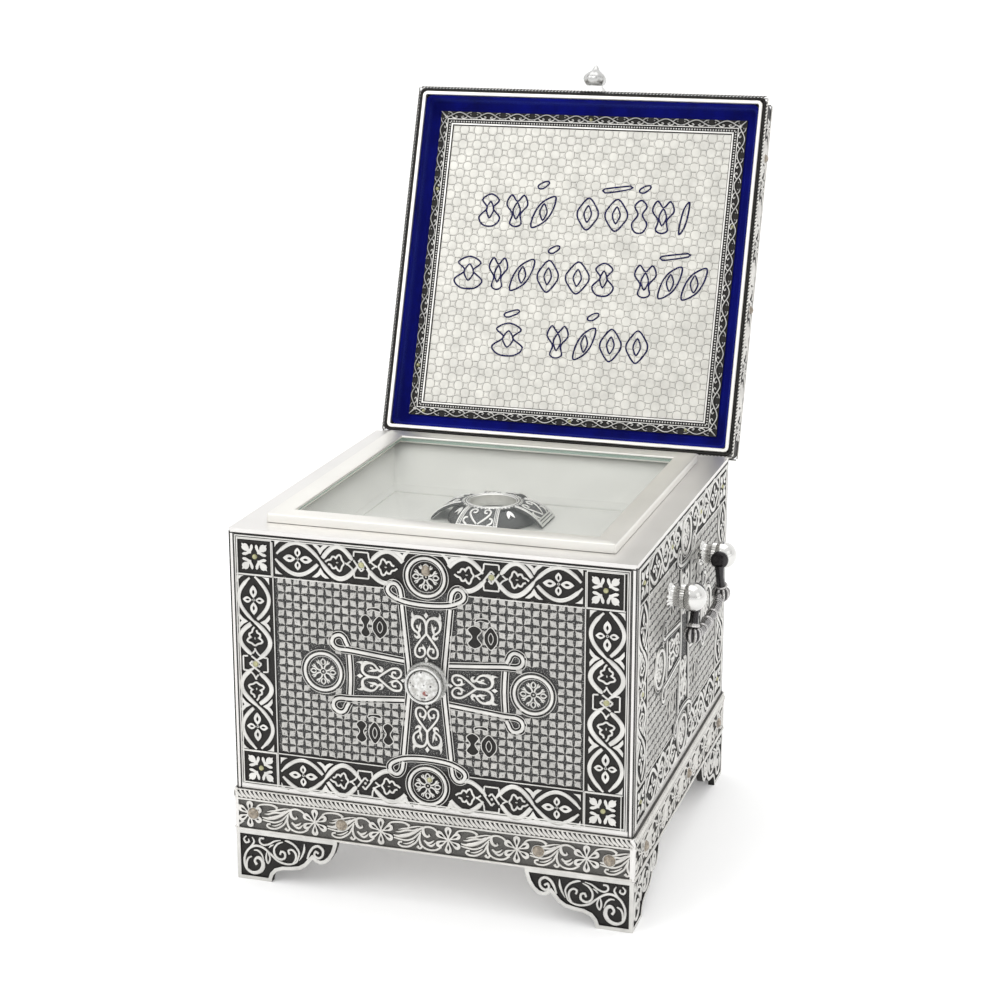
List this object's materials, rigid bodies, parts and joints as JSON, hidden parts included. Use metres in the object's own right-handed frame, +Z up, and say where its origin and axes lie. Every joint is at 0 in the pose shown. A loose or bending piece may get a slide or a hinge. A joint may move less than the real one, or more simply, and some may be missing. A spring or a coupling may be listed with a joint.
{
  "type": "reliquary casket",
  "caption": "Square silver-clad reliquary casket on bracket feet, with relief panels, a glazed deck, a hinged velvet-lined lid and hanging side bails.",
  "frame": {"origin": "middle of the underside of the bounding box, on the surface that the feet stand on", "axes": "+Z up, -Y to the front of the case, +X to its right as seen from the front"},
  "size_m": [0.3316, 0.4268, 0.5258],
  "materials": {
    "silver": "polished silver with fine scratches",
    "oxidised_silver": "chased silver, bright on the raised work and black in the ground",
    "dark_silver": "dark oxidised cast silver",
    "blackened_bronze": "blackened casting, satin",
    "lining": "pale satin",
    "velvet": "deep blue velvet",
    "glass": "clear with a pale green edge",
    "crystal": "cloudy rock crystal"
  },
  "bodies": {
    "casket": {"case": "silver", "inner_tray": "lining", "glazed_frame": "silver", "glass_pane": "glass", "relic_cover": "dark_silver", "plinth_band": "oxidised_silver", "front_panel": "oxidised_silver", "right_panel": "oxidised_silver", "back_panel": "oxidised_silver", "left_panel": "oxidised_silver", "crystal_bezel": "silver", "crystal": "crystal", "foot_front_left": "oxidised_silver", "foot_front_right": "oxidised_silver", "foot_back_right": "oxidised_silver", "foot_back_left": "oxidised_silver", "post_right_front": "silver", "post_right_back": "silver", "post_left_front": "silver", "post_left_back": "silver", "hinge_leaf_left": "silver", "hinge_leaf_right": "silver"},
    "lid": {"lid_shell": "oxidised_silver", "lid_rim": "silver", "velvet_lining": "velvet", "scroll_frame": "oxidised_silver", "lid_plate": "silver", "lid_knob": "silver", "lid_leaf_left": "silver", "lid_leaf_right": "silver"},
    "right_bail": {"bail_right": "blackened_bronze"},
    "left_bail": {"bail_left": "blackened_bronze"}
  },
  "joints": [
    {"name": "lid_hinge", "type": "hinge", "parent": "casket", "child": "lid", "pos_m": [0, 0.08309, 0.2485], "axis": [1, 0, 0], "range_deg": [0, 110.6]},
    {"name": "right_bail_pivot", "type": "hinge", "parent": "casket", "child": "right_bail", "pos_m": [0.1562, -0.06191, 0.206], "axis": [0, -1, 0], "range_deg": [-12, 170]},
    {"name": "left_bail_pivot", "type": "hinge", "parent": "casket", "child": "left_bail", "pos_m": [-0.1562, -0.06191, 0.206], "axis": [0, 1, 0], "range_deg": [-12, 170]}
  ]
}
